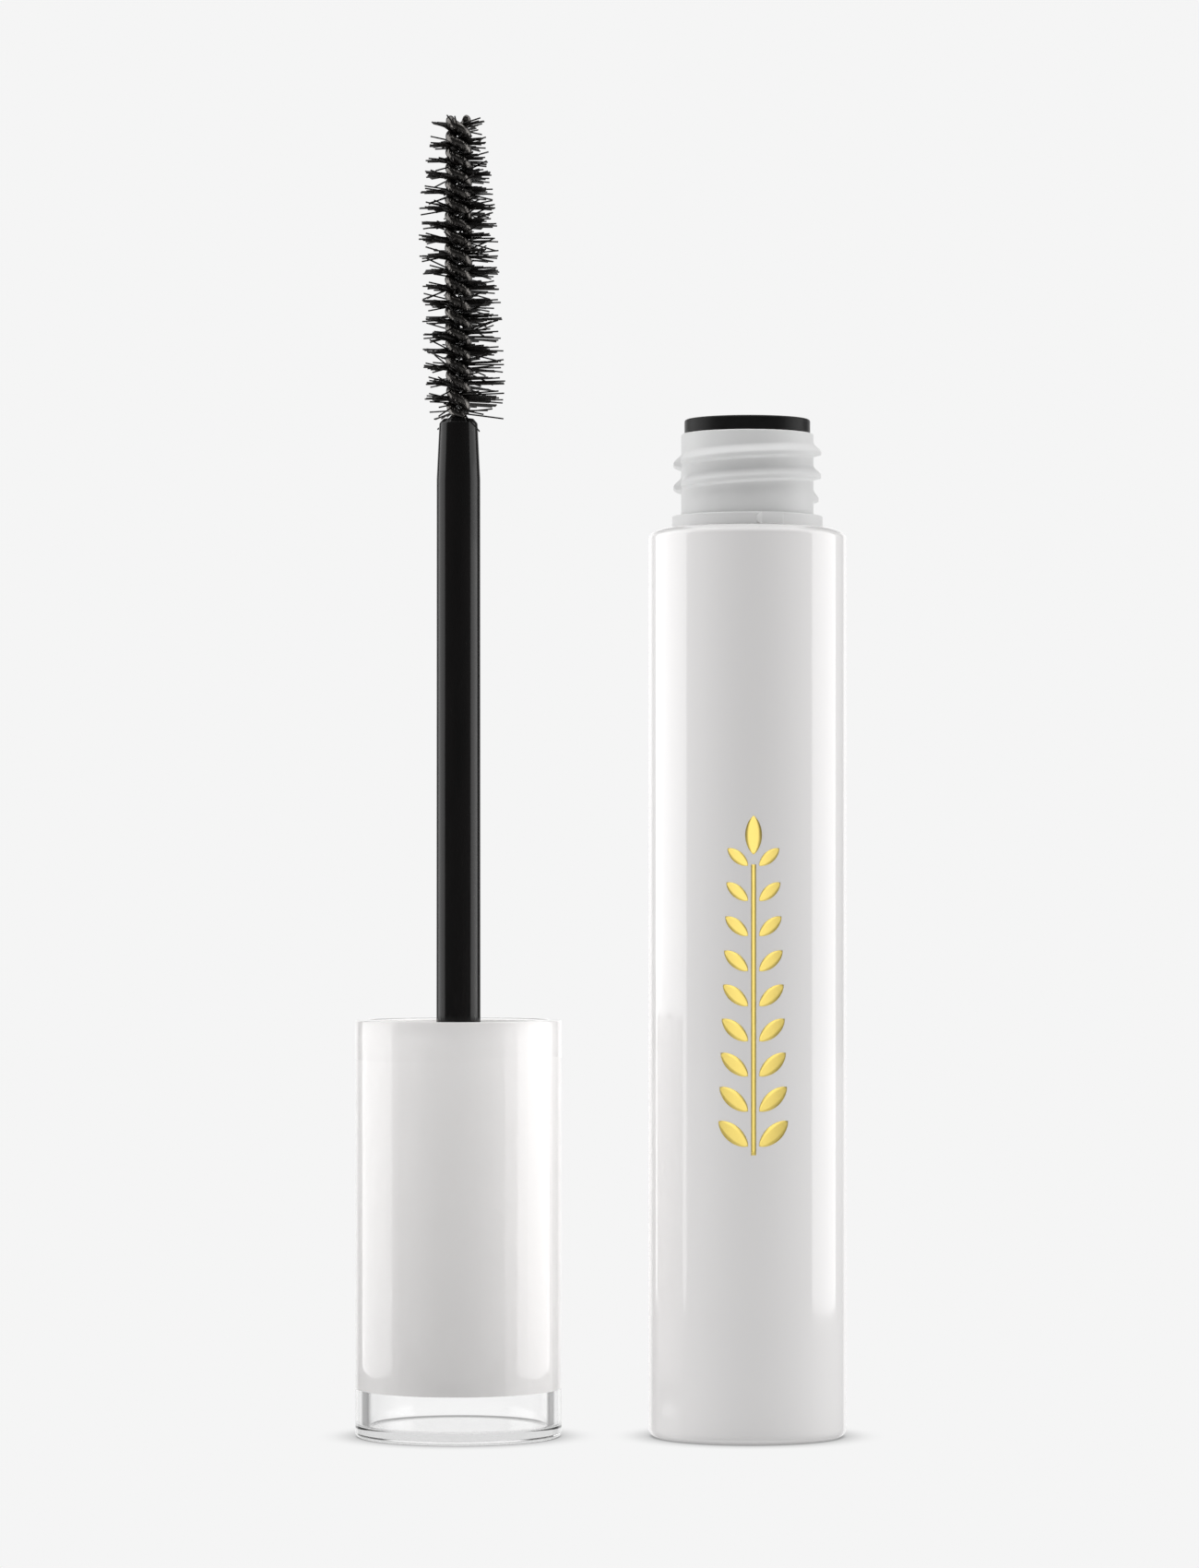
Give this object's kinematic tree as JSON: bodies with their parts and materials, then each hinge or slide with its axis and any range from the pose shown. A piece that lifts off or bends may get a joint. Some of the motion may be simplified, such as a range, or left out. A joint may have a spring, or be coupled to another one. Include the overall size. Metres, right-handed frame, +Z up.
{
  "type": "mascara tube",
  "caption": "Mascara tube with a threaded neck and wiper, its clear cap standing beside it with the stem and twisted-wire brush up.",
  "frame": {"origin": "centre of the tube's flat underside, on the table", "axes": "+Z up along the tube, -X towards the cap that stands beside it, -Y to the front"},
  "size_m": [0.0447, 0.0188, 0.1201],
  "materials": {
    "sleeve": "glossy white",
    "bottle": "satin natural white",
    "wiper": "satin black",
    "cap_shell": "clear polished acrylic",
    "cap_lining": "white moulded",
    "stem": "glossy black",
    "wire": "dark drawn wire",
    "bristle": "black nylon filament"
  },
  "bodies": {
    "tube": {"tube_sleeve": "sleeve", "inner_bottle": "bottle", "wiper": "wiper"},
    "cap": {"outer_cap": "cap_shell"},
    "wand": {"inner_cap": "cap_lining", "stem": "stem", "brush_wire": "wire", "bristle_row_01": "bristle", "bristle_row_02": "bristle", "bristle_row_03": "bristle", "bristle_row_04": "bristle", "bristle_row_05": "bristle", "bristle_row_06": "bristle", "bristle_row_07": "bristle", "bristle_row_08": "bristle", "bristle_row_09": "bristle", "bristle_row_10": "bristle", "bristle_row_11": "bristle", "bristle_row_12": "bristle", "bristle_row_13": "bristle", "bristle_row_14": "bristle", "bristle_row_15": "bristle", "bristle_row_16": "bristle", "bristle_row_17": "bristle", "bristle_row_18": "bristle"}
  },
  "joints": [
    {"name": "cap_lift", "type": "slide", "parent": "tube", "child": "cap", "axis": [0, 0, 1], "range_m": [0, 0.0915]},
    {"name": "cap_turn", "type": "hinge", "parent": "cap", "child": "wand", "pos_m": [-0.0263, 0, 0.03], "axis": [0, 0, 1], "continuous": true}
  ]
}
